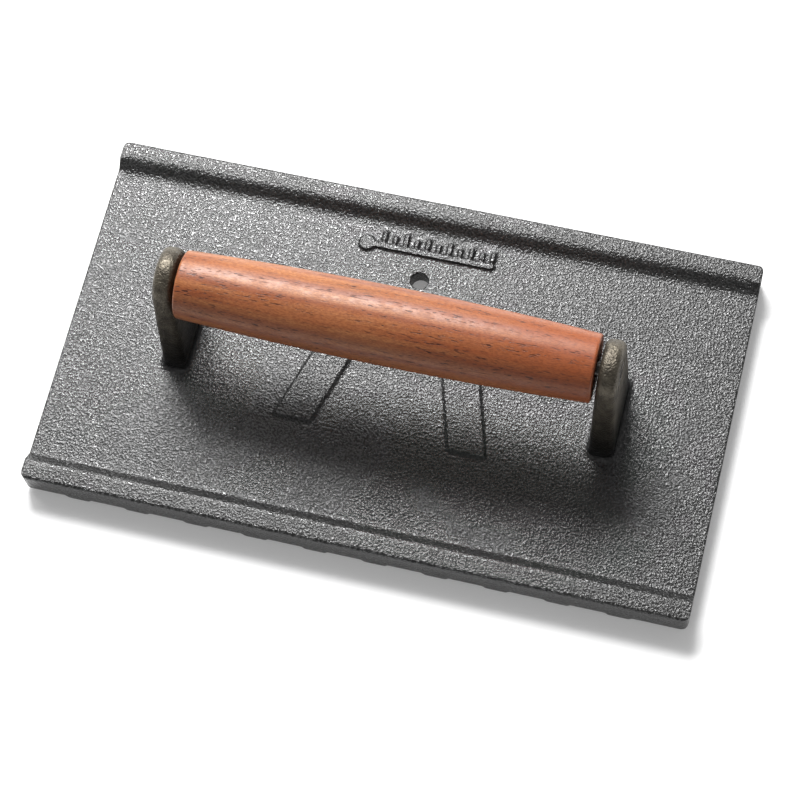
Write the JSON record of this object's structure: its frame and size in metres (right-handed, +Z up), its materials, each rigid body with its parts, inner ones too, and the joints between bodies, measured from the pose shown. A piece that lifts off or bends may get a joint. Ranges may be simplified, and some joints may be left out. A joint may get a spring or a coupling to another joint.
{
  "type": "bacon press",
  "caption": "Rectangular cast-iron press plate with raised long edges, searing ribs below and a loose turned wooden grip on a bolt between two posts.",
  "frame": {"origin": "middle of the footprint, on the plane that the searing ribs stand on", "axes": "+X along the long side and the grip's axis, +Y to the back edge beside the probe hole, +Z up from the ribs to the grip"},
  "size_m": [0.229, 0.1298, 0.0641],
  "materials": {
    "seasoned_iron": "sand-cast, seasoned, satin",
    "oiled_hardwood": "oiled reddish-brown hardwood, satin",
    "plain_steel": "plain, slightly darkened"
  },
  "bodies": {
    "press": {"press_plate": "seasoned_iron", "tie_bolt": "plain_steel", "sleeve_nut": "plain_steel"},
    "grip": {"handle_grip": "oiled_hardwood"}
  },
  "joints": [
    {"name": "grip_spin", "type": "hinge", "parent": "press", "child": "grip", "pos_m": [0, 0, 0.051], "axis": [1, 0, 0], "continuous": true}
  ]
}
